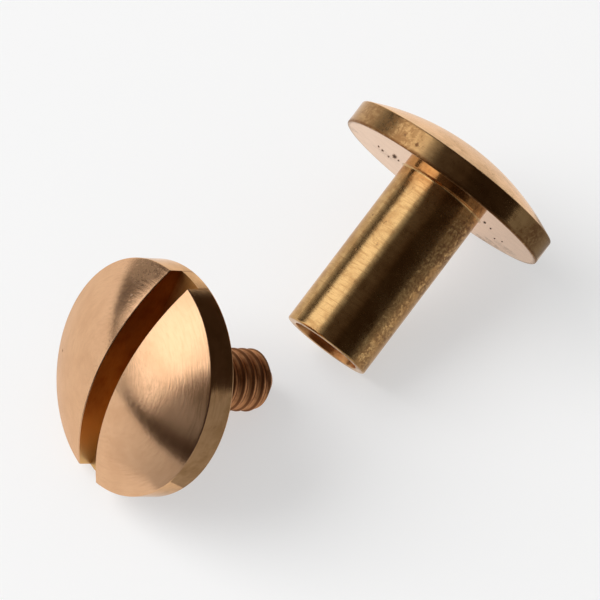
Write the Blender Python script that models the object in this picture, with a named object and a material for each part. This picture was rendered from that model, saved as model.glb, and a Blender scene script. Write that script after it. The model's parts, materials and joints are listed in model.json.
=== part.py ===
"""Two-piece brass screw-back button stud, unscrewed: a slotted screw and a barrel post, lying side by side."""

import math

import bmesh
import bpy
from mathutils import Matrix, Vector

# Driving sizes in millimetres and degrees
sides = 60
fuse = 1e-7

thread_diameter = 4.1
thread_pitch = 0.79
thread_depth = 0.42
crest_width = 0.12
root_width = 0.18
thread_clearance = 0.1

screw_head_diameter = 15.0
screw_rim_height = 1.85
screw_dome_rise = 2.1
screw_length = 8.9
screw_tip_chamfer = 1.0
screw_neck_length = 0.5
screw_neck_fillet = 0.45
screw_edge_break = 0.1
slot_width = 2.0
slot_floor = 0.95

post_head_diameter = 15.0
post_rim_height = 1.6
post_dome_rise = 1.8
post_edge_break = 0.1
mouth_clearance = 0.25
mouth_depth = 2.0
barrel_wall = 0.65
barrel_length = 12.2
barrel_fillet = 0.2
mouth_edge_break = 0.12
tapped_end = 10.0
bore_end = 10.8

# Which way each dome faces, how the slot has rolled, and how far apart the two heads lie
screw_heading = -155.3
slot_turn = 14.5
post_heading = 50.2
head_spacing_x = 23.5
head_spacing_y = 17.1

dome_rings = 9
corner_rings = 3
helix_snap = 0.03


def arc(centre, radius, start, end, steps):
    """Points of a circular arc as (radius from the axis, height), angles in degrees."""
    angles = [math.radians(start + (end - start) * step / steps) for step in range(steps + 1)]
    return [(centre[0] + radius * math.cos(a), centre[1] + radius * math.sin(a)) for a in angles]


def head_profile(diameter, rim, rise, edge_break):
    """Apex of the dome down over the rim band to the edge of the flat underside."""
    radius = diameter / 2
    sphere = (radius**2 + rise**2) / (2 * rise)
    centre = (0, rim + rise - sphere)
    edge = math.degrees(math.asin((radius - edge_break) / sphere))
    points = arc(centre, sphere, 90, 90 - edge, dome_rings)
    points[0] = (0, rim + rise)
    shoulder = points[-1][1]
    points += [(radius, shoulder - edge_break), (radius, edge_break), (radius - edge_break, 0)]
    return points


def thread_stand(turns):
    """How far the thread stands above its root, after this many turns from the start of a crest."""
    flank = (thread_pitch - crest_width - root_width) / 2
    along = (turns % 1) * thread_pitch
    down = (crest_width + flank - along) / flank
    up = (along - crest_width - flank - root_width) / flank
    return thread_depth * max(0, min(1, down), min(1, up))


def helical_rows(top, bottom, root_radius, envelope):
    """Rows of one turn each that climb by a pitch, held between two heights and inside an envelope."""
    flank = (thread_pitch - crest_width - root_width) / 2
    corners = [0, crest_width, crest_width + flank, crest_width + flank + root_width]
    first = math.ceil(top / thread_pitch)
    last = math.floor(bottom / thread_pitch) - 1
    rows = []
    for turn in range(first, last - 1, -1):
        for corner in reversed(corners):
            row = []
            for side in range(sides + 1):
                lead = side / sides
                height = (turn + lead) * thread_pitch + corner
                if height > top - helix_snap:
                    height = top
                if height < bottom + helix_snap:
                    height = bottom
                thread_radius = root_radius + thread_stand(height / thread_pitch - lead)
                row.append((min(thread_radius, envelope(height)), height))
            rows.append(row)
    return rows


def turned_solid(name, rows):
    """Closed solid from rows about +Z: a row is one (radius, height) point, or one for every side."""
    mesh = bmesh.new()
    grid = []
    for row in rows:
        around = row if isinstance(row, list) else [row] * (sides + 1)
        line = []
        for side, (radius, height) in enumerate(around):
            angle = 2 * math.pi * side / sides
            spot = Vector((radius * math.cos(angle), radius * math.sin(angle), height)) / 1000
            line.append(mesh.verts.new(spot))
        grid.append(line)
    for upper, lower in zip(grid, grid[1:]):
        for side in range(sides):
            mesh.faces.new((upper[side], lower[side], lower[side + 1], upper[side + 1]))
    bmesh.ops.remove_doubles(mesh, verts=mesh.verts, dist=fuse)
    bmesh.ops.dissolve_degenerate(mesh, edges=mesh.edges, dist=fuse)
    bmesh.ops.recalc_face_normals(mesh, faces=mesh.faces)
    data = bpy.data.meshes.new(name)
    mesh.to_mesh(data)
    mesh.free()
    data.shade_smooth()
    data.set_sharp_from_angle(angle=math.radians(25))
    solid = bpy.data.objects.new(name, data)
    bpy.context.collection.objects.link(solid)
    return solid


def brass(name, colour, roughness):
    material = bpy.data.materials.new(name)
    material.use_nodes = True
    shader = material.node_tree.nodes["Principled BSDF"]
    shader.inputs["Base Color"].default_value = (*colour, 1)
    shader.inputs["Metallic"].default_value = 1
    shader.inputs["Roughness"].default_value = roughness
    return material


def slotted_screw():
    """Domed head, plain neck, threaded shank and chamfered tip, in one turning."""
    crest = thread_diameter / 2
    root = crest - thread_depth

    def envelope(height):
        below_neck = -screw_neck_length - height
        above_tip = height + screw_length
        return min(crest, root + below_neck, crest - screw_tip_chamfer + above_tip)

    rows = head_profile(screw_head_diameter, screw_rim_height, screw_dome_rise, screw_edge_break)
    rows += arc((root + screw_neck_fillet, -screw_neck_fillet), screw_neck_fillet, 90, 180, corner_rings)
    rows += helical_rows(-screw_neck_length, -screw_length, root, envelope)
    rows.append((0, -screw_length))
    return turned_solid("slotted_screw", rows)


def cut_slot(screw):
    """Straight slot across the whole head, square-bottomed."""
    top = screw_rim_height + screw_dome_rise + slot_width
    bpy.ops.mesh.primitive_cube_add(size=0.001)
    cutter = bpy.context.object
    cutter.name = "slot_cutter"
    cutter.scale = (screw_head_diameter * 1.5, slot_width, top - slot_floor)
    cutter.location = (0, 0, (top + slot_floor) / 2000)
    cutter.rotation_euler = (0, 0, math.radians(slot_turn))
    cutter.parent = screw
    cutter.hide_render = True
    cutter.display_type = "WIRE"
    cut = screw.modifiers.new("slot", "BOOLEAN")
    cut.operation = "DIFFERENCE"
    cut.solver = "EXACT"
    cut.object = cutter


def barrel_post():
    """Domed head and open barrel, counterbored and tapped from its mouth, in one turning."""
    crest = (thread_diameter + thread_clearance) / 2
    root = crest - thread_depth
    mouth = crest + mouth_clearance
    barrel = mouth + barrel_wall
    step = -barrel_length + mouth_depth
    thread_start = step + mouth - root
    thread_stop = -barrel_length + tapped_end
    bore_stop = -barrel_length + bore_end

    def envelope(height):
        return max(root, min(crest, root + height - thread_start, root + thread_stop - height))

    rows = head_profile(post_head_diameter, post_rim_height, post_dome_rise, post_edge_break)
    rows += arc((barrel + barrel_fillet, -barrel_fillet), barrel_fillet, 90, 180, corner_rings)
    rows += [(barrel, mouth_edge_break - barrel_length), (barrel - mouth_edge_break, -barrel_length)]
    rows += [(mouth + mouth_edge_break / 2, -barrel_length)]
    rows += [(mouth, mouth_edge_break / 2 - barrel_length), (mouth, step)]
    rows += helical_rows(thread_stop, thread_start, root, envelope)[::-1]
    rows += [(root, bore_stop), (0, bore_stop + root * math.tan(math.radians(31)))]
    return turned_solid("barrel_post", rows)


def rest_tilt(solid, head_diameter, edge_break):
    """How far the axis rises from the ground when head edge and shank both touch it, in radians."""
    radius, edge = head_diameter / 2000, edge_break / 1000
    shank = [v.co for v in solid.data.vertices if v.co.z < -radius / 2 and v.co.xy.length < 0.9 * radius]
    return min(math.atan2(radius + v.x, edge - v.z) for v in shank)


def lay_down(solid, head_diameter, edge_break, place, heading):
    """Lays a piece on its head's rim and its far end, dome up and towards the heading."""
    tilt = rest_tilt(solid, head_diameter, edge_break)
    heading = math.radians(heading)
    ahead = Vector((math.cos(heading), math.sin(heading), 0))
    axis = ahead * math.cos(tilt) + Vector((0, 0, math.sin(tilt)))
    up_side = Vector((0, 0, math.cos(tilt))) - ahead * math.sin(tilt)
    turn = Matrix((up_side, axis.cross(up_side), axis)).transposed()
    lowest = min((turn @ v.co).z for v in solid.data.vertices)
    centre = Vector((place[0], place[1], 0)) / 1000 + up_side * head_diameter / 2000
    solid.rotation_euler = turn.to_euler()
    solid.location = (centre.x, centre.y, -lowest)


def centre_over_origin(solids):
    """Moves the pieces together, so that the middle of the ground they cover is the origin."""
    bpy.context.view_layer.update()
    spots = [solid.matrix_world @ v.co for solid in solids for v in solid.data.vertices]
    middle_x = (min(s.x for s in spots) + max(s.x for s in spots)) / 2
    middle_y = (min(s.y for s in spots) + max(s.y for s in spots)) / 2
    for solid in solids:
        solid.location.x -= middle_x
        solid.location.y -= middle_y


for old in list(bpy.data.objects):
    bpy.data.objects.remove(old, do_unlink=True)

screw = slotted_screw()
cut_slot(screw)
screw.data.materials.append(brass("warm brass", (0.66, 0.42, 0.22), 0.28))
lay_down(screw, screw_head_diameter, screw_edge_break, (0, 0), screw_heading)

post = barrel_post()
post.data.materials.append(brass("golden brass", (0.7, 0.47, 0.25), 0.3))
lay_down(post, post_head_diameter, post_edge_break, (head_spacing_x, head_spacing_y), post_heading)

centre_over_origin([screw, post])
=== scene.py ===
import bpy
import json
import math
from mathutils import Matrix, Vector


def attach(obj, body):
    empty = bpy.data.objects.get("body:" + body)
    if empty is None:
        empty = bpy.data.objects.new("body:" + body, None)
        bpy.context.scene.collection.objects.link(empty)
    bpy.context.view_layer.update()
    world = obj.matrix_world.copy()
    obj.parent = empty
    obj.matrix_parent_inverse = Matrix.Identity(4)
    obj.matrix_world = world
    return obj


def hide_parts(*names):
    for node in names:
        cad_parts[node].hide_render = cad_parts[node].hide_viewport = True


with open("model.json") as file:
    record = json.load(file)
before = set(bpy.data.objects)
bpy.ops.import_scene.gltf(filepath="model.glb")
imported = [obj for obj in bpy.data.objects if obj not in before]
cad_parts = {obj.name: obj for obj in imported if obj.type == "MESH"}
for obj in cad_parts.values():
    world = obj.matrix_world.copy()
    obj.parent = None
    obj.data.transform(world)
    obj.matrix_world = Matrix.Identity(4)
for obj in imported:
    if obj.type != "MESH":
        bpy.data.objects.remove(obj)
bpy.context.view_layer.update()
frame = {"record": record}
print("frame loaded")

mm = 0.001
mounts = {mount["name"]: mount for mount in frame["record"]["mounts"]}

# points nearer than this are one point, in millimetres: in a turning, at a flat cut, and after a boolean
turnedJoin = 0.0005
cutJoin = 0.0001
booleanJoin = 0.00001

# facets in the arc of a rounded corner and of a fillet
cornerSteps = 5
filletSteps = 6
cornerFlat = 0.03  # a narrow flat beside each arc, which keeps its shading crisp

creaseAngle = 24  # edges sharper than this stay sharp, in degrees


# plain helpers for working in object and edit mode
def deselectAll():
    if bpy.context.object and bpy.context.object.mode != "OBJECT":
        bpy.ops.object.mode_set(mode="OBJECT")
    bpy.ops.object.select_all(action="DESELECT")


def makeActive(piece):
    deselectAll()
    piece.select_set(True)
    bpy.context.view_layer.objects.active = piece


def applyModifier(piece, kind, **settings):
    makeActive(piece)
    modifier = piece.modifiers.new("step", kind)
    for key, value in settings.items():
        setattr(modifier, key, value)
    bpy.ops.object.modifier_apply(modifier=modifier.name)


def cutOrJoin(piece, tool, operation):
    applyModifier(piece, "BOOLEAN", operation=operation, solver="EXACT", object=tool)
    bpy.data.objects.remove(tool, do_unlink=True)


def mergeDoubles(piece, distance):
    makeActive(piece)
    bpy.ops.object.mode_set(mode="EDIT")
    bpy.ops.mesh.select_all(action="SELECT")
    bpy.ops.mesh.remove_doubles(threshold=distance)
    bpy.ops.mesh.normals_make_consistent(inside=False)
    bpy.ops.object.mode_set(mode="OBJECT")


# points of an arc as (distance from the axis, height), angles in degrees
def arcPoints(centre, radius, start, end, steps):
    angles = [math.radians(start + (end - start) * step / steps) for step in range(steps + 1)]
    return [(centre[0] + radius * math.cos(a), centre[1] + radius * math.sin(a)) for a in angles]


# one vertex, drawn out point by point along an outline beside the Z axis
def drawOutline(name, points):
    deselectAll()
    bpy.ops.mesh.primitive_plane_add(size=1, location=(0, 0, 0))
    piece = bpy.context.object
    piece.name = name
    bpy.ops.object.mode_set(mode="EDIT")
    bpy.ops.mesh.select_all(action="SELECT")
    bpy.ops.mesh.merge(type="CENTER")
    bpy.ops.transform.translate(value=(points[0][0], 0, points[0][1]))
    for here, there in zip(points, points[1:]):
        stride = (there[0] - here[0], 0, there[1] - here[1])
        bpy.ops.mesh.extrude_region_move(TRANSFORM_OT_translate={"value": stride})
    bpy.ops.object.mode_set(mode="OBJECT")
    return piece


# a turning: the outline spun round the Z axis
def turnOnLathe(name, points, sides):
    piece = drawOutline(name, points)
    bpy.ops.object.mode_set(mode="EDIT")
    bpy.ops.mesh.select_all(action="SELECT")
    bpy.ops.mesh.spin(steps=sides, angle=2 * math.pi, center=(0, 0, 0), axis=(0, 0, 1))
    bpy.ops.object.mode_set(mode="OBJECT")
    mergeDoubles(piece, turnedJoin)
    return piece


# both pieces share one thread, in millimetres
thread = {
    "diameter": 4.1,
    "pitch": 0.79,
    "depth": 0.19,
    "rings": 16,  # in the wave from one crest to the next
    "clearance": 0.1,  # on the post's diameter
    "sides": 96,
    "spareTurns": 3,
}


# a threaded rod, wound a little too long and cut off flat: growth widens or thins it
def threadedRod(name, top, bottom, growth):
    middle = (thread["diameter"] + growth - thread["depth"]) / 2
    outline = []
    for ring in range(thread["rings"] + 1):
        swing = math.cos(2 * math.pi * ring / thread["rings"]) * thread["depth"] / 2
        outline.append((middle + swing, thread["pitch"] * ring / thread["rings"]))
    rod = drawOutline(name, outline)
    turns = math.ceil((top - bottom) / thread["pitch"]) + thread["spareTurns"]
    applyModifier(rod, "SCREW", screw_offset=thread["pitch"], iterations=turns, axis="Z",
                  steps=thread["sides"], render_steps=thread["sides"], use_merge_vertices=False)
    makeActive(rod)
    rod.location = (0, 0, bottom - thread["spareTurns"] / 2 * thread["pitch"])
    bpy.ops.object.transform_apply(location=True)
    bpy.ops.object.mode_set(mode="EDIT")
    bpy.ops.mesh.select_all(action="SELECT")
    bpy.ops.mesh.remove_doubles(threshold=turnedJoin)
    bpy.ops.mesh.select_all(action="SELECT")
    bpy.ops.mesh.bisect(plane_co=(0, 0, top), plane_no=(0, 0, 1), use_fill=True, clear_outer=True,
                        threshold=cutJoin)
    bpy.ops.mesh.select_all(action="SELECT")
    bpy.ops.mesh.bisect(plane_co=(0, 0, bottom), plane_no=(0, 0, 1), use_fill=True, clear_inner=True,
                        threshold=cutJoin)
    bpy.ops.mesh.select_all(action="SELECT")
    bpy.ops.mesh.normals_make_consistent(inside=False)
    bpy.ops.object.mode_set(mode="OBJECT")
    return rod


# the dome, its soft shoulder, the rim band and the head's back edge
def headOutline(settings):
    radius, soft = settings["headRadius"], settings["edgeRound"]
    rise, rim = settings["domeRise"], settings["rimHeight"]
    sphere = (radius**2 + rise**2) / (2 * rise)
    domeCentre = rim + rise - sphere
    shoulder = math.degrees(math.asin((radius - soft) / sphere))
    points = arcPoints((0, domeCentre), sphere, 90, 90 - shoulder, settings["domeRings"])
    points[0] = (0, rim + rise)
    points[-1:] = arcPoints((radius - soft, points[-1][1] - soft), soft, 90 - shoulder, 0, cornerSteps)
    points += [(radius, points[-1][1] - cornerFlat), (radius, soft + cornerFlat)]
    points += arcPoints((radius - soft, soft), soft, 0, -90, cornerSteps)
    return points + [(radius - soft - cornerFlat, 0)]


# from upright and in millimetres to where the frame's own piece lies, found from its mount
def layDown(piece, settings):
    mount = mounts[settings["mount"]]
    axis = -Vector(mount["axis"]).normalized()
    upSide = (Vector((0, 0, 1)) - axis * axis.z).normalized()
    centre = Vector(mount["pos_m"]) - upSide * settings["mountOffAxis"] * mm
    turn = Matrix((upSide, axis.cross(upSide), axis)).transposed()
    makeActive(piece)
    piece.matrix_world = Matrix.Translation(centre) @ turn.to_4x4() @ Matrix.Scale(mm, 4)
    bpy.ops.object.transform_apply(location=True, rotation=True, scale=True)
    return {"centre": centre, "turn": turn}


# slotted screw, sizes in millimetres and degrees
screwSettings = {
    "mount": "screw_head_underside",
    "mountOffAxis": 4.8,  # from the axis to the mount
    "headRadius": 7.45,
    "rimHeight": 1.85,
    "domeRise": 2.1,
    "domeRings": 40,
    "edgeRound": 0.1,
    "length": 8.9,
    "tipChamfer": 1.11,
    "threadGrowth": -0.08,  # on the screw's diameter
    "neckLength": 0.5,
    "neckFillet": 0.2,
    "neckStep": 0.02,  # the neck stands in by this from the thread's root
    "neckStub": 0.4,  # the head's own part of the neck
    "shankSunk": 0.6,  # how far the shank reaches into the head
    "shankSkin": 0.05,  # how far the shank's outline clears the crests
    "rodSpare": (0.1, 0.3),  # cut off again at the top and at the tip
    "slotWidth": 2.0,
    "slotFloor": 0.95,  # above the head's back
    "slotTurn": 14.5,
    "slotBreak": 0.05,
    "slotBreakSides": 720,
    "slotToolClear": 1.0,  # above the dome
    "threadFinishBelow": -0.3,  # on the neck
    "sides": 288,
}


# the shank's own outline, from inside the head down: neck, run-out, crests, and a chamfered tip
def shankEnvelope(settings):
    skin, sunk = settings["shankSkin"], settings["shankSunk"]
    crest = thread["diameter"] / 2 + skin
    root = thread["diameter"] / 2 - thread["depth"] - settings["neckStep"]
    neck, length, chamfer = settings["neckLength"], settings["length"], settings["tipChamfer"]
    points = [(0, sunk), (root, sunk), (root, -neck), (crest, -neck - (crest - root))]
    points += [(crest, -length + chamfer + skin), (crest - chamfer - skin, -length), (0, -length)]
    return points


# the head with a stub of its neck, and a threaded rod cut to the shank's outline and joined to it
def makeSlottedScrew(settings):
    head = headOutline(settings)
    root = thread["diameter"] / 2 - thread["depth"] - 2 * settings["neckStep"]
    fillet, stub = settings["neckFillet"], settings["neckStub"]
    head += [(root + fillet + cornerFlat, 0)]
    head += arcPoints((root + fillet, -fillet), fillet, 90, 180, filletSteps)
    head += [(root, -stub), (0, -stub)]
    screw = turnOnLathe("slottedScrew", head, settings["sides"])
    top = settings["shankSunk"] + settings["rodSpare"][0]
    bottom = -settings["length"] - settings["rodSpare"][1]
    rod = threadedRod("rod", top, bottom, settings["threadGrowth"])
    envelope = turnOnLathe("envelope", shankEnvelope(settings), thread["sides"])
    cutOrJoin(rod, envelope, "INTERSECT")
    cutOrJoin(screw, rod, "UNION")
    cutSlot(screw, settings)
    mergeDoubles(screw, booleanJoin)
    return screw


# across the slot, the way its two walls face
def acrossSlot(settings):
    turned = math.radians(settings["slotTurn"])
    return Vector((-math.sin(turned), math.cos(turned), 0))


# a square slot through the dome, its long edges broken first by a thin four-sided ring along each
def cutSlot(screw, settings):
    radius, rise = settings["headRadius"], settings["domeRise"]
    sphere = (radius**2 + rise**2) / (2 * rise)
    half = settings["slotWidth"] / 2
    domeCentre = settings["rimHeight"] + rise - sphere
    turned = math.radians(settings["slotTurn"])
    for sign in (-1, 1):
        deselectAll()
        spot = acrossSlot(settings) * half * sign + Vector((0, 0, domeCentre))
        bpy.ops.mesh.primitive_torus_add(
            location=spot, rotation=(math.pi / 2, 0, turned),
            major_radius=math.sqrt(sphere**2 - half**2), minor_radius=settings["slotBreak"],
            major_segments=settings["slotBreakSides"], minor_segments=4)
        cutOrJoin(screw, bpy.context.object, "DIFFERENCE")
    floor = settings["slotFloor"]
    top = settings["rimHeight"] + rise + settings["slotToolClear"]
    deselectAll()
    bpy.ops.mesh.primitive_cube_add(size=1, location=(0, 0, (top + floor) / 2), rotation=(0, 0, turned))
    slotTool = bpy.context.object
    slotTool.scale = (radius * 3, settings["slotWidth"], top - floor)  # well past both sides
    bpy.ops.object.transform_apply(location=True, rotation=True, scale=True)
    cutOrJoin(screw, slotTool, "DIFFERENCE")


# barrel post, sizes in millimetres and degrees
postSettings = {
    "mount": "post_head_underside",
    "mountOffAxis": 5.2,  # from the axis to the mount
    "headRadius": 7.45,
    "rimHeight": 1.6,
    "domeRise": 1.8,
    "domeRings": 40,
    "edgeRound": 0.1,
    "barrelRadius": 2.985,
    "barrelLength": 12.2,
    "barrelFillet": 0.14,
    "mouthRadius": 2.35,
    "mouthDepth": 2.0,
    "mouthRound": 0.12,
    "mouthSteps": 3,
    "tappedEnd": 10.0,  # from the mouth, as the bore's end is
    "tapOverrun": 0.2,  # into the mouth's wider part
    "boreEnd": 10.8,
    "drillAngle": 31,
    "sides": 288,
}


# the whole post as one turning, from the dome down the outside and up the bore, then tapped
def makeBarrelPost(settings):
    barrel, length, soft = settings["barrelRadius"], settings["barrelLength"], settings["mouthRound"]
    mouth, fillet = settings["mouthRadius"], settings["barrelFillet"]
    root = (thread["diameter"] + thread["clearance"]) / 2 - thread["depth"]
    step = settings["mouthDepth"] - length
    boreStop = settings["boreEnd"] - length
    outline = headOutline(settings)
    outline += [(barrel + fillet + cornerFlat, 0)]
    outline += arcPoints((barrel + fillet, -fillet), fillet, 90, 180, filletSteps)
    outline += [(barrel, -fillet - cornerFlat), (barrel, soft + cornerFlat - length)]
    outline += arcPoints((barrel - soft, soft - length), soft, 0, -90, cornerSteps)
    outline += arcPoints((mouth + soft / 2, soft / 2 - length), soft / 2, -90, -180,
                         settings["mouthSteps"])
    outline += [(mouth, step), (root, step + mouth - root), (root, boreStop)]
    outline += [(0, boreStop + root * math.tan(math.radians(settings["drillAngle"])))]
    post = turnOnLathe("barrelPost", outline, settings["sides"])
    tap = threadedRod("tap", settings["tappedEnd"] - length, step - settings["tapOverrun"],
                      thread["clearance"])
    cutOrJoin(post, tap, "DIFFERENCE")
    mergeDoubles(post, booleanJoin)
    return post


white = (1, 1, 1, 1)


# a shader node with its settings and its inputs, each a value or another node's output
def addNode(tree, kind, inputs=None, **settings):
    node = tree.nodes.new(kind)
    for key, value in settings.items():
        setattr(node, key, value)
    for key, value in (inputs or {}).items():
        if isinstance(value, bpy.types.NodeSocket):
            tree.links.new(value, node.inputs[key])
        else:
            node.inputs[key].default_value = value
    return node


def mathNode(tree, operation, first, second=0.0, third=0.0):
    node = addNode(tree, "ShaderNodeMath", {0: first, 1: second, 2: third}, operation=operation)
    return node.outputs[0]


# a smooth step: outLow up to low, outHigh from high on
def rangeNode(tree, value, low, high, outLow=0.0, outHigh=1.0):
    inputs = {"Value": value, "From Min": low, "From Max": high, "To Min": outLow, "To Max": outHigh}
    node = addNode(tree, "ShaderNodeMapRange", inputs, interpolation_type="SMOOTHSTEP")
    return node.outputs["Result"]


# the mix node's colour sockets are the seventh and eighth, and its result the third
def mixColour(tree, amount, first, second):
    node = addNode(tree, "ShaderNodeMix", {0: amount, 6: first, 7: second}, data_type="RGBA")
    return node.outputs[2]


def noiseNode(tree, vector, scale, detail, roughness, w=None):
    inputs = {"Vector": vector, "Scale": scale, "Detail": detail, "Roughness": roughness}
    if w is not None:
        inputs["W"] = w
    node = addNode(tree, "ShaderNodeTexNoise", inputs, noise_dimensions="3D" if w is None else "4D")
    return node.outputs["Fac"]


# the piece's own upright place of each point in millimetres, and what a lathe makes of it
def latheCoordinates(tree, lay):
    place = addNode(tree, "ShaderNodeTexCoord")
    upright = addNode(tree, "ShaderNodeMapping", {
        "Vector": place.outputs["Object"],
        "Location": lay["centre"],
        "Rotation": lay["turn"].to_euler(),
        "Scale": (mm, mm, mm),
    }, vector_type="TEXTURE")
    split = addNode(tree, "ShaderNodeSeparateXYZ", {0: upright.outputs[0]})
    x, y, z = split.outputs
    radius = mathNode(tree, "SQRT", mathNode(tree, "MULTIPLY_ADD", x, x, mathNode(tree, "MULTIPLY", y, y)))
    angle = mathNode(tree, "ARCTAN2", y, x)
    return {"point": upright.outputs[0], "z": z, "radius": radius, "angle": angle}


# the way a lathe tool ran at each point, for the streaked highlights
def latheTangent(tree, lay):
    place = addNode(tree, "ShaderNodeTexCoord")
    fromCentre = addNode(tree, "ShaderNodeVectorMath",
                         {0: place.outputs["Object"], 1: lay["centre"]}, operation="SUBTRACT")
    axis = lay["turn"].col[2]
    around = addNode(tree, "ShaderNodeVectorMath",
                     {0: tuple(axis), 1: fromCentre.outputs[0]}, operation="CROSS_PRODUCT")
    return addNode(tree, "ShaderNodeVectorMath", {0: around.outputs[0]}, operation="NORMALIZE").outputs[0]


# how every turned finish makes and cuts its noise: a noise has its detail and roughness, a cut the
# values at which a mask is nothing and full
brassGrain = {
    "arcNoise": (3.0, 0.6),
    "cloudNoise": (4.0, 0.6),
    "speckNoise": (5.0, 0.7),
    "gritScale": 9.0,
    "gritNoise": (2.0, 0.6),
    "shadeCut": (0.38, 0.7),
    "streakCut": (0.45, 0.7),
    "shadeLineCut": (-0.2, 0.7),
    "shadeLinesPerTurn": 2,
    "speckCut": (0.53, 0.66),
    "cloudySpecks": (0.42, 0.62, 0.25, 1.0),
    "blotCut": (0.37, 0.57),
    "darkerEdgeCut": (0.3, 0.5),
    "patchRagged": 0.8,
    "patchCore": 0.3,
    "dirtRoughness": 0.3,
    "pitRoughness": 0.7,
    "pitMetalLoss": 0.9,
    "specularTint": (1, 0.88, 0.76, 1),
    "tangentTurn": 0.25,
}


# noise drawn out into arcs round the axis: fine across them, long along them
def arcNoise(tree, spot, fine, dashes):
    reach = dashes / (2 * math.pi)
    ring = addNode(tree, "ShaderNodeCombineXYZ", {
        "X": mathNode(tree, "MULTIPLY", spot["radius"], fine),
        "Y": mathNode(tree, "MULTIPLY", spot["z"], fine),
        "Z": mathNode(tree, "MULTIPLY", mathNode(tree, "COSINE", spot["angle"]), reach)})
    across = mathNode(tree, "MULTIPLY", mathNode(tree, "SINE", spot["angle"]), reach)
    return noiseNode(tree, ring.outputs[0], 1.0, *brassGrain["arcNoise"], across)


# 1 inside a ragged patch at a place on the piece, fading to 0 at its rim; it can be drawn out one way
def patchMask(tree, spot, centre, size, noise, stretch=1.0, turned=0.0):
    away = addNode(tree, "ShaderNodeVectorMath", {0: spot["point"], 1: centre}, operation="SUBTRACT")
    if stretch != 1.0:
        away = addNode(tree, "ShaderNodeVectorRotate",
                       {"Vector": away.outputs[0], "Axis": (0, 0, 1), "Angle": math.radians(-turned)})
        away = addNode(tree, "ShaderNodeVectorMath",
                       {0: away.outputs[0], 1: (1 / stretch, 1, 1)}, operation="MULTIPLY")
    away = addNode(tree, "ShaderNodeVectorMath", {0: away.outputs[0]}, operation="LENGTH")
    swing = size * brassGrain["patchRagged"]
    edge = mathNode(tree, "MULTIPLY_ADD", noise, 2 * swing, -swing)
    away = mathNode(tree, "ADD", away.outputs["Value"], edge)
    return rangeNode(tree, away, size, size * brassGrain["patchCore"])


# a new material, its node tree and its shader
def newMaterial(name):
    material = bpy.data.materials.new(name)
    material.use_nodes = True
    tree = material.node_tree
    return material, tree, tree.nodes["Principled BSDF"]


# the tool's marks as bump, their height in millimetres
def linkBump(tree, shader, marks, height):
    bump = addNode(tree, "ShaderNodeBump", {"Height": marks, "Strength": 1.0, "Distance": height * mm})
    tree.links.new(bump.outputs[0], shader.inputs["Normal"])
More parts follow.
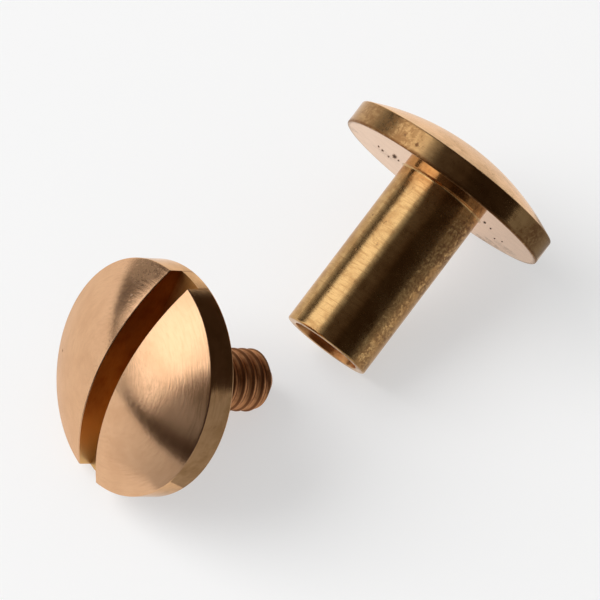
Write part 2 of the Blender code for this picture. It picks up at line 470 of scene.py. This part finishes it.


# finishes of the turned brass: linear colours, places and sizes of marks in millimetres; some add an edge
# that grows darker, pits drawn out one way at an angle, or painted shade lines that wind along a thread
brassLooks = {
    "screw dome": {
        "colour": (0.76, 0.455, 0.262, 1),
        "shade": (0.7, 0.405, 0.225, 1),
        "dirtAndShadeColour": (0.26, 0.15, 0.08, 1),
        "roughness": 0.2,
        "roughnessSpread": 0.16,
        "anisotropy": 0.85,
        "grooveFine": 8.0,  # the tool's arcs, to a millimetre
        "grooveDashes": 44,  # how often they break off, once round
        "grooveHeight": 0.009,
        "streak": 0.7,  # how far they take the shade's colour
        "cloud": 0.5,  # scale of the tarnish
        "speckle": 3.2,  # scale of the specks
        "dirtAmount": 0.0,  # how strong the specks are
        "pits": [((-3.67, 5.26, 2.44), 0.13), ((4.1, 3.2, 3.0), 0.1)],  # place, size
        # painted shade: a darker patch near the rim, where the dome mirrors the dark room
        "stainsAndPaintedShade": [((5.4, 4.5, 2.2), 1.7, 0.6)],  # place, size, strength
    },
    "screw rim": {
        "colour": (0.74, 0.43, 0.21, 1),
        "shade": (0.58, 0.32, 0.14, 1),
        "dirtAndShadeColour": (0.2, 0.1, 0.045, 1),
        "roughness": 0.1,
        "roughnessSpread": 0.04,
        "anisotropy": 0.7,
        "grooveFine": 9.0,
        "grooveDashes": 30,
        "grooveHeight": 0.004,
        "streak": 0.35,
        "cloud": 0.9,
        "speckle": 3.0,
        "dirtAmount": 0.15,
        "pits": [],
        "stainsAndPaintedShade": [],
    },
    "screw thread": {
        "colour": (0.72, 0.36, 0.165, 1),
        "shade": (0.42, 0.18, 0.075, 1),
        "dirtAndShadeColour": (0.2, 0.075, 0.03, 1),
        "roughness": 0.55,
        "roughnessSpread": 0.08,
        "anisotropy": 0.3,
        "grooveFine": 9.0,
        "grooveDashes": 8,
        "grooveHeight": 0.008,
        "streak": 0.35,
        "cloud": 0.9,
        "speckle": 3.4,
        "dirtAmount": 0.2,
        # painted shade: dark lines at half the pitch, for the thread's pattern of light and dark
        "paintedShadeLines": 0.8,
        "pits": [],
        "stainsAndPaintedShade": [],
    },
    "post dome": {
        "colour": (0.95, 0.61, 0.34, 1),
        "shade": (0.8, 0.475, 0.225, 1),
        "dirtAndShadeColour": (0.26, 0.15, 0.08, 1),
        "roughness": 0.2,
        "roughnessSpread": 0.08,
        "anisotropy": 0.85,
        "grooveFine": 8.0,
        "grooveDashes": 34,
        "grooveHeight": 0.006,
        "streak": 0.35,
        "cloud": 0.6,
        "speckle": 3.2,
        "dirtAmount": 0.2,
        "pits": [],
        "stainsAndPaintedShade": [],
    },
    "post rim": {
        "colour": (0.5, 0.3, 0.13, 1),
        "shade": (0.36, 0.2, 0.08, 1),
        "dirtAndShadeColour": (0.22, 0.09, 0.03, 1),
        "roughness": 0.2,
        "roughnessSpread": 0.08,
        "anisotropy": 0.8,
        "grooveFine": 8.0,
        "grooveDashes": 30,
        "grooveHeight": 0.005,
        "streak": 0.6,
        "cloud": 1.0,
        "speckle": 3.4,
        "dirtAmount": 0.65,
        "darkerEdge": ("z", 0.32, 0.06, 0.9),  # measured along, where it starts, where it is full, strength
        "pits": [((7.47, -0.49, 0.61), 0.17), ((7.33, -1.59, 0.72), 0.12), ((7.2, 1.2, 1.1), 0.1)],
        "stainsAndPaintedShade": [((1.6, 7.2, 0.8), 1.6, 0.8), ((7.1, -2.2, 0.8), 2.4, 0.55),
                   ((5.6, -4.9, 0.8), 2.2, 0.5)],
    },
    "barrel": {
        "colour": (0.6, 0.375, 0.158, 1),
        "shade": (0.43, 0.24, 0.092, 1),
        "dirtAndShadeColour": (0.2, 0.1, 0.04, 1),
        "roughness": 0.2,
        "roughnessSpread": 0.1,
        "anisotropy": 0.85,
        "grooveFine": 7.0,
        "grooveDashes": 16,
        "grooveHeight": 0.006,
        "streak": 0.9,
        "cloud": 0.9,
        "speckle": 4.2,
        "dirtAmount": 0.5,
        "pits": [((2.25, -1.98, -3.9), 0.1), ((2.8, -1.0, -9.6), 0.1), ((2.7, -1.3, -6.4), 0.09)],
        # stains, and painted shade: a row of darker patches down the side of the barrel that mirrors the
        # shadowed paper
        "stainsAndPaintedShade": [((0.8, 2.87, -1.6), 2.3, 1.0), ((0.8, 2.87, -3.4), 2.3, 1.0),
                   ((0.8, 2.87, -5.4), 2.3, 0.9), ((0.8, 2.87, -7.5), 2.3, 0.8),
                   ((0.8, 2.87, -9.6), 2.3, 0.8), ((0.8, 2.87, -11.5), 2.0, 0.8)],
    },
    "post back": {
        "colour": (0.76, 0.52, 0.37, 1),
        "shade": (0.68, 0.44, 0.29, 1),
        "dirtAndShadeColour": (0.09, 0.05, 0.03, 1),
        "roughness": 0.1,
        "roughnessSpread": 0.05,
        "anisotropy": 0.0,
        "grooveFine": 6.0,
        "grooveDashes": 12,
        "grooveHeight": 0.0004,
        "streak": 0.35,
        "cloud": 0.9,
        "speckle": 3.2,
        "dirtAmount": 0.1,
        "darkerEdge": ("radius", 7.12, 7.36, 0.6),
        "pitStretch": (5.5, 20),  # times as long, degrees
        "pits": [((1.79, -3.34, 0), 0.22), ((1.32, -3.14, 0), 0.1), ((0.97, -4.55, 0), 0.12),
                 ((1.45, -4.74, 0), 0.1), ((0.25, -4.25, 0), 0.1), ((0.09, 3.56, 0), 0.13),
                 ((-0.63, 3.86, 0), 0.1), ((-2.6, 4.3, 0), 0.08), ((-3.38, 3.49, 0), 0.08)],
        "stainsAndPaintedShade": [((-4.5, 4.0, 0), 1.4, 0.4), ((-5.9, 2.7, 0), 1.3, 0.5), ((-6.9, 1.7, 0), 0.9, 0.7),
                   ((0.4, -4.4, 0), 1.3, 0.35), ((1.3, -7.1, 0), 0.9, 0.4)],
    },
    "bore": {
        "colour": (0.62, 0.32, 0.13, 1),
        "shade": (0.44, 0.19, 0.065, 1),
        "dirtAndShadeColour": (0.14, 0.06, 0.03, 1),
        "roughness": 0.3,
        "roughnessSpread": 0.1,
        "anisotropy": 0.5,
        "grooveFine": 7.0,
        "grooveDashes": 14,
        "grooveHeight": 0.006,
        "streak": 0.35,
        "cloud": 1.2,
        "speckle": 3.2,
        "dirtAmount": 0.3,
        "pits": [],
        "stainsAndPaintedShade": [],
    },
}


# turned brass: clouds of tarnish, specks of dirt, pits, stains and patches of painted shade at their
# places, painted shade lines on a thread, and the arcs the tool left
def makeBrass(name, lay):
    look = brassLooks[name]
    material, tree, shader = newMaterial(name)
    spot = latheCoordinates(tree, lay)
    grooves = arcNoise(tree, spot, look["grooveFine"], look["grooveDashes"])
    cloud = noiseNode(tree, spot["point"], look["cloud"], *brassGrain["cloudNoise"])
    speck = noiseNode(tree, spot["point"], look["speckle"], *brassGrain["speckNoise"])
    grit = noiseNode(tree, spot["point"], brassGrain["gritScale"], *brassGrain["gritNoise"])

    dirtAndPaintedShade = mathNode(tree, "MULTIPLY", rangeNode(tree, speck, *brassGrain["speckCut"]),
                     rangeNode(tree, cloud, *brassGrain["cloudySpecks"]))
    dirtAndPaintedShade = mathNode(tree, "MULTIPLY", dirtAndPaintedShade, look["dirtAmount"])
    blots = rangeNode(tree, speck, *brassGrain["blotCut"])
    # stains, and patches of painted shade where a part mirrors dark surroundings
    for centre, size, strength in look["stainsAndPaintedShade"]:
        darkPatch = mathNode(tree, "MULTIPLY", patchMask(tree, spot, centre, size, cloud), blots)
        dirtAndPaintedShade = mathNode(tree, "MAXIMUM", dirtAndPaintedShade, mathNode(tree, "MULTIPLY", darkPatch, strength))
    # darker towards one edge of the part
    if "darkerEdge" in look:
        measure, low, high, strength = look["darkerEdge"]
        edgeDarkening = mathNode(tree, "MULTIPLY", rangeNode(tree, spot[measure], low, high),
                         rangeNode(tree, speck, *brassGrain["darkerEdgeCut"]))
        dirtAndPaintedShade = mathNode(tree, "MAXIMUM", dirtAndPaintedShade, mathNode(tree, "MULTIPLY", edgeDarkening, strength))
    pitted = 0.0
    for centre, size in look["pits"]:
        pit = patchMask(tree, spot, centre, size, grit, *look.get("pitStretch", ()))
        pitted = mathNode(tree, "MAXIMUM", pit, pitted)
    dirtAndPaintedShade = mathNode(tree, "MAXIMUM", dirtAndPaintedShade, pitted)

    shaded = rangeNode(tree, cloud, *brassGrain["shadeCut"])
    colour = mixColour(tree, shaded, look["colour"], look["shade"])
    streaks = mathNode(tree, "MULTIPLY", rangeNode(tree, grooves, *brassGrain["streakCut"]), look["streak"])
    colour = mixColour(tree, streaks, colour, look["shade"])
    # painted shade: dark lines that wind along the thread at half its pitch
    if "paintedShadeLines" in look:
        starts = brassGrain["shadeLinesPerTurn"]
        climb = mathNode(tree, "MULTIPLY_ADD", spot["z"], 2 * math.pi * starts / thread["pitch"],
                         mathNode(tree, "MULTIPLY", spot["angle"], -starts))
        lines = rangeNode(tree, mathNode(tree, "COSINE", climb), *brassGrain["shadeLineCut"],
                          0.0, look["paintedShadeLines"])
        colour = mixColour(tree, lines, colour, look["dirtAndShadeColour"])
    colour = mixColour(tree, dirtAndPaintedShade, colour, look["dirtAndShadeColour"])
    tree.links.new(colour, shader.inputs["Base Color"])

    spread = look["roughnessSpread"]
    rough = mathNode(tree, "MULTIPLY_ADD", grooves, spread, look["roughness"] - spread / 2)
    rough = mathNode(tree, "MULTIPLY_ADD", dirtAndPaintedShade, brassGrain["dirtRoughness"], rough)
    rough = mathNode(tree, "MULTIPLY_ADD", pitted, brassGrain["pitRoughness"], rough)
    tree.links.new(rough, shader.inputs["Roughness"])
    shader.inputs["Metallic"].default_value = 1
    if look["pits"]:
        metal = mathNode(tree, "MULTIPLY_ADD", pitted, -brassGrain["pitMetalLoss"], 1.0)
        tree.links.new(metal, shader.inputs["Metallic"])
    linkBump(tree, shader, grooves, look["grooveHeight"])
    tree.links.new(latheTangent(tree, lay), shader.inputs["Tangent"])
    shader.inputs["Specular Tint"].default_value = brassGrain["specularTint"]
    shader.inputs["Anisotropic"].default_value = look["anisotropy"]
    shader.inputs["Anisotropic Rotation"].default_value = brassGrain["tangentTurn"]
    return material


# the sawn slot: darker than the dome, partly as painted shade of the recess, and paler towards its lower
# end; noises and cuts as in the turned finishes
slotLook = {
    "colour": (0.58, 0.3, 0.1, 1),
    "shade": (0.42, 0.18, 0.05, 1),
    "paler": (0.76, 0.46, 0.19, 1),
    "palerCut": (0.2, -2.5),
    "roughness": 0.38,
    "roughnessSpread": 0.1,
    "cloud": 0.5,
    "cloudNoise": (2.0, 0.5),
    "cloudCut": (0.35, 0.7),
    "sawLong": 0.35,
    "sawFine": 9.0,
    "sawNoise": (3.0, 0.6),
    "sawCut": (0.4, 0.7),
    "sawShade": 0.3,
    "sawHeight": 0.005,
}


# the slot's walls and floor: browner and darker, partly as painted shade of the recess, with the saw's
# lines along it
def makeSawnBrass(name, lay, look, turned):
    material, tree, shader = newMaterial(name)
    spot = latheCoordinates(tree, lay)
    along = addNode(tree, "ShaderNodeMapping", {
        "Vector": spot["point"], "Rotation": (0, 0, -turned),
        "Scale": (look["sawLong"], look["sawFine"], look["sawFine"])})
    saw = noiseNode(tree, along.outputs[0], 1.0, *look["sawNoise"])
    cloud = noiseNode(tree, spot["point"], look["cloud"], *look["cloudNoise"])
    shaded = rangeNode(tree, cloud, *look["cloudCut"])
    shaded = mathNode(tree, "MULTIPLY_ADD", rangeNode(tree, saw, *look["sawCut"]), look["sawShade"], shaded)
    colour = mixColour(tree, shaded, look["colour"], look["shade"])
    split = addNode(tree, "ShaderNodeSeparateXYZ", {0: along.outputs[0]})
    pale = rangeNode(tree, split.outputs[0], *look["palerCut"])
    tree.links.new(mixColour(tree, pale, colour, look["paler"]), shader.inputs["Base Color"])
    spread = look["roughnessSpread"]
    rough = mathNode(tree, "MULTIPLY_ADD", saw, spread, look["roughness"] - spread / 2)
    tree.links.new(rough, shader.inputs["Roughness"])
    linkBump(tree, shader, saw, look["sawHeight"])
    shader.inputs["Metallic"].default_value = 1
    return material


screw = makeSlottedScrew(screwSettings)
screwLay = layDown(screw, screwSettings)
print("slotted screw turned, threaded and slotted")

post = makeBarrelPost(postSettings)
postLay = layDown(post, postSettings)
print("barrel post turned and tapped")


def finishPiece(piece, node):
    makeActive(piece)
    bpy.ops.object.shade_smooth_by_angle(angle=math.radians(creaseAngle))
    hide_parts(node)
    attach(piece, "root")


# where one finish ends: the height of a normal that still belongs to a dome, and a hair in millimetres
domeFacing = 0.4
hair = 0.01


# gives each face the finish of its place, told from its middle and normal on the upright piece
def layFinishes(piece, lay, finishes, finishAt):
    for material in finishes.values():
        piece.data.materials.append(material)
    order = list(finishes)
    upright = lay["turn"].transposed()
    for face in piece.data.polygons:
        spot = upright @ (face.center - lay["centre"]) / mm
        face.material_index = order.index(finishAt(spot, upright @ face.normal))


def dressScrew(piece, lay, settings):
    turned = math.radians(settings["slotTurn"])
    across, half = acrossSlot(settings), settings["slotWidth"] / 2
    finishes = {
        "dome": makeBrass("screw dome", lay),
        "rim": makeBrass("screw rim", lay),
        "slot": makeSawnBrass("screw slot", lay, slotLook, turned),
        "thread": makeBrass("screw thread", lay),
    }

    # the rim's finish goes on over the head's back
    def finishAt(spot, facing):
        if spot.z < settings["threadFinishBelow"]:
            return "thread"
        if abs(spot.dot(across)) < half + hair and spot.z > settings["slotFloor"] - 2 * hair:
            return "slot"
        return "rim" if facing.z < domeFacing else "dome"

    layFinishes(piece, lay, finishes, finishAt)


def dressPost(piece, lay, settings):
    names = ("post dome", "post rim", "post back", "barrel", "bore")
    finishes = {name: makeBrass(name, lay) for name in names}

    def finishAt(spot, facing):
        if spot.z > hair:
            return "post dome" if facing.z > domeFacing else "post rim"
        if spot.xy.length < settings["mouthRadius"] + 2 * hair:
            return "bore"
        onBack = spot.xy.length > settings["barrelRadius"] + settings["barrelFillet"] - hair
        return "post back" if onBack else "barrel"

    layFinishes(piece, lay, finishes, finishAt)


dressScrew(screw, screwLay, screwSettings)
finishPiece(screw, "slotted_screw")
dressPost(post, postLay, postSettings)
finishPiece(post, "barrel_post")
print("brass finishes laid on")

# floor, lamps and the dim room that the metal mirrors, in metres and degrees: a place to light from is
# a heading and a height, and the panel's radiance runs from its edge to its middle
studio = {
    "floorSize": 3.0,
    "floorColour": (0.93, 0.93, 0.93, 1),
    "shadowLift": 0.5,
    "roomRadius": 1.3,
    "roomGlow": 0.03,
    "roomTint": (1.25, 0.86, 0.62, 1),
    "whiteFrom": 0.15,
    "glows": [
        {"from": (107, -6), "inner": 2, "outer": 44, "strength": 0.95},
        {"from": (147, 70), "inner": 2, "outer": 21, "strength": 0.57},
        {"from": (100, 39), "inner": 2, "outer": 25, "strength": 0.3},
        {"from": (217, 22), "inner": 2, "outer": 14, "strength": 0.24},
        {"from": (225, 73), "inner": 2, "outer": 43, "strength": 0.06},
    ],
    # the cards are seen only in the metal; their greys are painted shade of the paper round the pieces
    "cards": [  # two corners of each
        {"from": (0.0165, -0.6), "to": (0.6, 0.012)},
        {"from": (0.027, 0.012), "to": (0.6, 0.6)},
        {"from": (-0.007, -0.6), "to": (0.0165, -0.0125)},
        {"from": (-0.02, -0.6), "to": (-0.007, -0.02)},
        {"from": (-0.6, -0.6), "to": (-0.02, -0.012)},
    ],
    "cardHeight": 0.0002,
    "cardsAround": (-0.008, -0.009, 0),
    "paperShadeGreys": [(0, 0.28), (50, 0.3), (75, 0.93), (188, 0.93), (204, 0.73), (222, 0.49),
                  (250, 0.37), (300, 0.36), (340, 0.28)],
    "skyStrength": 0.36,
    "sunFrom": (165, 42),
    "sunStrength": 1.7,
    "sunSpread": 50,
    "panelFrom": (170, 38),
    "panelAway": 0.6,
    "panelRadiance": (1.5, 1.92),
    "panelMiddle": (0.1, 0, 0.03),
    "panelFade": (0.3, 0.05),
    "panelCorners": [(0.39, -0.37), (-0.08, -0.28), (-0.13, -0.45), (-0.27, 0.04), (-0.46, 0.08),
                     (-0.31, 0.31), (-0.07, 0.38), (0.05, 0.34), (0.3, 0.27), (0.35, -0.06)],
}


# a direction from the object: 0 degrees points to the right, 90 away from the camera
def direction(heading, height):
    heading, height = math.radians(heading), math.radians(height)
    level = math.cos(height)
    return Vector((math.cos(heading) * level, math.sin(heading) * level, math.sin(height)))


# 1 for what the eye sees, straight or in metal and glass, and 0 for light that falls on things
def seenRays(tree):
    rays = addNode(tree, "ShaderNodeLightPath")
    seen = mathNode(tree, "MAXIMUM", rays.outputs["Is Camera Ray"], rays.outputs["Is Glossy Ray"])
    return mathNode(tree, "MAXIMUM", seen, rays.outputs["Is Transmission Ray"])


# pale paper, its shadows lifted a little towards white where it is seen
def makeFloor():
    deselectAll()
    bpy.ops.mesh.primitive_plane_add(size=studio["floorSize"], location=(0, 0, 0))
    floor = bpy.context.object
    floor.name = "floor"
    material, tree, shader = newMaterial("white paper")
    shader.inputs["Base Color"].default_value = studio["floorColour"]
    shader.inputs["Roughness"].default_value = 1
    shader.inputs["Specular IOR Level"].default_value = 0
    bright = addNode(tree, "ShaderNodeEmission", {"Color": white, "Strength": 1.0})
    lift = mathNode(tree, "MULTIPLY", seenRays(tree), studio["shadowLift"])
    mixed = addNode(tree, "ShaderNodeMixShader", {0: lift, 1: shader.outputs[0], 2: bright.outputs[0]})
    tree.links.new(mixed.outputs[0], tree.nodes["Material Output"].inputs["Surface"])
    floor.data.materials.append(material)


# a white emission material, to be given its strength or colour
def makeGlow(name):
    material, tree, shader = newMaterial(name)
    tree.nodes.remove(shader)
    glow = addNode(tree, "ShaderNodeEmission", {"Color": white, "Strength": 1.0})
    tree.links.new(glow.outputs[0], tree.nodes["Material Output"].inputs["Surface"])
    return material, tree, glow


# a thing of the studio that the metal mirrors and the picture doesn't show; it may light the paper too
def setOnStage(thing, material, lightsPaper):
    thing.data.materials.append(material)
    thing.visible_camera = False
    thing.visible_shadow = False
    thing.visible_diffuse = lightsPaper


# a dim shell round the studio with paler patches, warm where it is dark
def makeRoom():
    deselectAll()
    bpy.ops.mesh.primitive_uv_sphere_add(radius=studio["roomRadius"], segments=64, ring_count=32)
    room = bpy.context.object
    room.name = "room"
    material, tree, glow = makeGlow("dim room")
    place = addNode(tree, "ShaderNodeTexCoord")
    outward = addNode(tree, "ShaderNodeVectorMath", {0: place.outputs["Object"]}, operation="NORMALIZE")
    total = studio["roomGlow"]
    for patch in studio["glows"]:
        towards = addNode(tree, "ShaderNodeVectorMath",
                          {0: outward.outputs[0], 1: direction(*patch["from"])}, operation="DOT_PRODUCT")
        edge = [math.cos(math.radians(patch[key])) for key in ("outer", "inner")]
        light = rangeNode(tree, towards.outputs["Value"], *edge, 0.0, patch["strength"])
        total = mathNode(tree, "ADD", light, total)
    tree.links.new(total, glow.inputs["Strength"])
    bright = rangeNode(tree, total, studio["roomGlow"], studio["whiteFrom"])
    tree.links.new(mixColour(tree, bright, studio["roomTint"], white), glow.inputs["Color"])
    setOnStage(room, material, False)


# sheets that lie on the paper outside the picture, with painted shade: their grey, darker where the paper
# lies in shade, goes by the heading from one place
def makeCards():
    material, tree, glow = makeGlow("painted paper shade")
    place = addNode(tree, "ShaderNodeTexCoord")
    away = addNode(tree, "ShaderNodeVectorMath", {0: place.outputs["Object"], 1: studio["cardsAround"]},
                   operation="SUBTRACT")
    split = addNode(tree, "ShaderNodeSeparateXYZ", {0: away.outputs[0]})
    heading = mathNode(tree, "ARCTAN2", split.outputs[1], split.outputs[0])
    turns = mathNode(tree, "FRACT", mathNode(tree, "DIVIDE", heading, 2 * math.pi))
    ramp = addNode(tree, "ShaderNodeValToRGB", {0: turns})
    stops = ramp.color_ramp.elements
    stops.remove(stops[1])
    for degrees, grey in studio["paperShadeGreys"]:
        stop = stops[0] if degrees == 0 else stops.new(degrees / 360)
        stop.color = (grey, grey, grey, 1)
    tree.links.new(ramp.outputs[0], glow.inputs["Color"])
    for number, card in enumerate(studio["cards"], 1):
        near, far = card["from"], card["to"]
        middle = ((near[0] + far[0]) / 2, (near[1] + far[1]) / 2, studio["cardHeight"])
        deselectAll()
        bpy.ops.mesh.primitive_plane_add(size=1, location=middle)
        sheet = bpy.context.object
        sheet.name = "card" + str(number)
        sheet.scale = (far[0] - near[0], far[1] - near[1], 1)
        bpy.ops.object.transform_apply(location=True, scale=True)
        setOnStage(sheet, material, False)


# a wide soft sun for the paper and the shadows; the metal doesn't mirror it
def makeSun():
    away = direction(*studio["sunFrom"])
    deselectAll()
    bpy.ops.object.light_add(type="SUN", location=away)
    sun = bpy.context.object
    sun.name = "key"
    sun.rotation_euler = away.to_track_quat("Z", "Y").to_euler()
    sun.data.energy = studio["sunStrength"]
    sun.data.angle = math.radians(studio["sunSpread"])
    sun.visible_glossy = False


# the light panel that the brass mirrors, its corners on its own plane
def makePanel():
    panel = drawOutline("panel", studio["panelCorners"])
    bpy.ops.object.mode_set(mode="EDIT")
    bpy.ops.mesh.select_all(action="SELECT")
    bpy.ops.mesh.edge_face_add()
    bpy.ops.object.mode_set(mode="OBJECT")
    towards = direction(*studio["panelFrom"])
    heading = math.radians(studio["panelFrom"][0])
    sideways = Vector((-math.sin(heading), math.cos(heading), 0))
    turn = Matrix((sideways, -towards, sideways.cross(-towards))).transposed()
    panel.matrix_world = Matrix.Translation(towards * studio["panelAway"]) @ turn.to_4x4()
    material, tree, glow = makeGlow("light panel")
    place = addNode(tree, "ShaderNodeTexCoord")
    away = addNode(tree, "ShaderNodeVectorMath",
                   {0: place.outputs["Object"], 1: studio["panelMiddle"]}, operation="DISTANCE")
    radiance = rangeNode(tree, away.outputs["Value"], *studio["panelFade"], *studio["panelRadiance"])
    tree.links.new(radiance, glow.inputs["Strength"])
    setOnStage(panel, material, True)


# white where it is seen, dimmer as light on things
def makeWorld():
    world = bpy.data.worlds.new("white surround")
    world.use_nodes = True
    tree = world.node_tree
    background = tree.nodes["Background"]
    background.inputs["Color"].default_value = white
    strength = mathNode(tree, "MAXIMUM", seenRays(tree), studio["skyStrength"])
    tree.links.new(strength, background.inputs["Strength"])
    bpy.context.scene.world = world


makeFloor()
makeRoom()
makeCards()
makeSun()
makePanel()
makeWorld()
print("studio set up")

# the photograph's camera: a long lens under half a metre away, not rolled, looking well down; the aim
# and the distance are in millimetres, the clip in metres
cameraSettings = {
    "aim": (-0.26, 3.83, 0),
    "elevation": 56.65,
    "distance": 454.4,
    "sensor": 36,
    "lens": 426.6,
    "clip": (0.01, 10),
}


def makeCamera():
    deselectAll()
    bpy.ops.object.camera_add()
    camera = bpy.context.object
    aim = Vector(cameraSettings["aim"]) * mm
    back = direction(-90, cameraSettings["elevation"])
    camera.location = aim + back * cameraSettings["distance"] * mm
    camera.rotation_euler = back.to_track_quat("Z", "Y").to_euler()
    camera.data.sensor_width = cameraSettings["sensor"]
    camera.data.lens = cameraSettings["lens"]
    camera.data.clip_start, camera.data.clip_end = cameraSettings["clip"]
    bpy.context.scene.camera = camera
    bpy.context.scene.view_settings.view_transform = "Standard"


makeCamera()
print("camera placed")
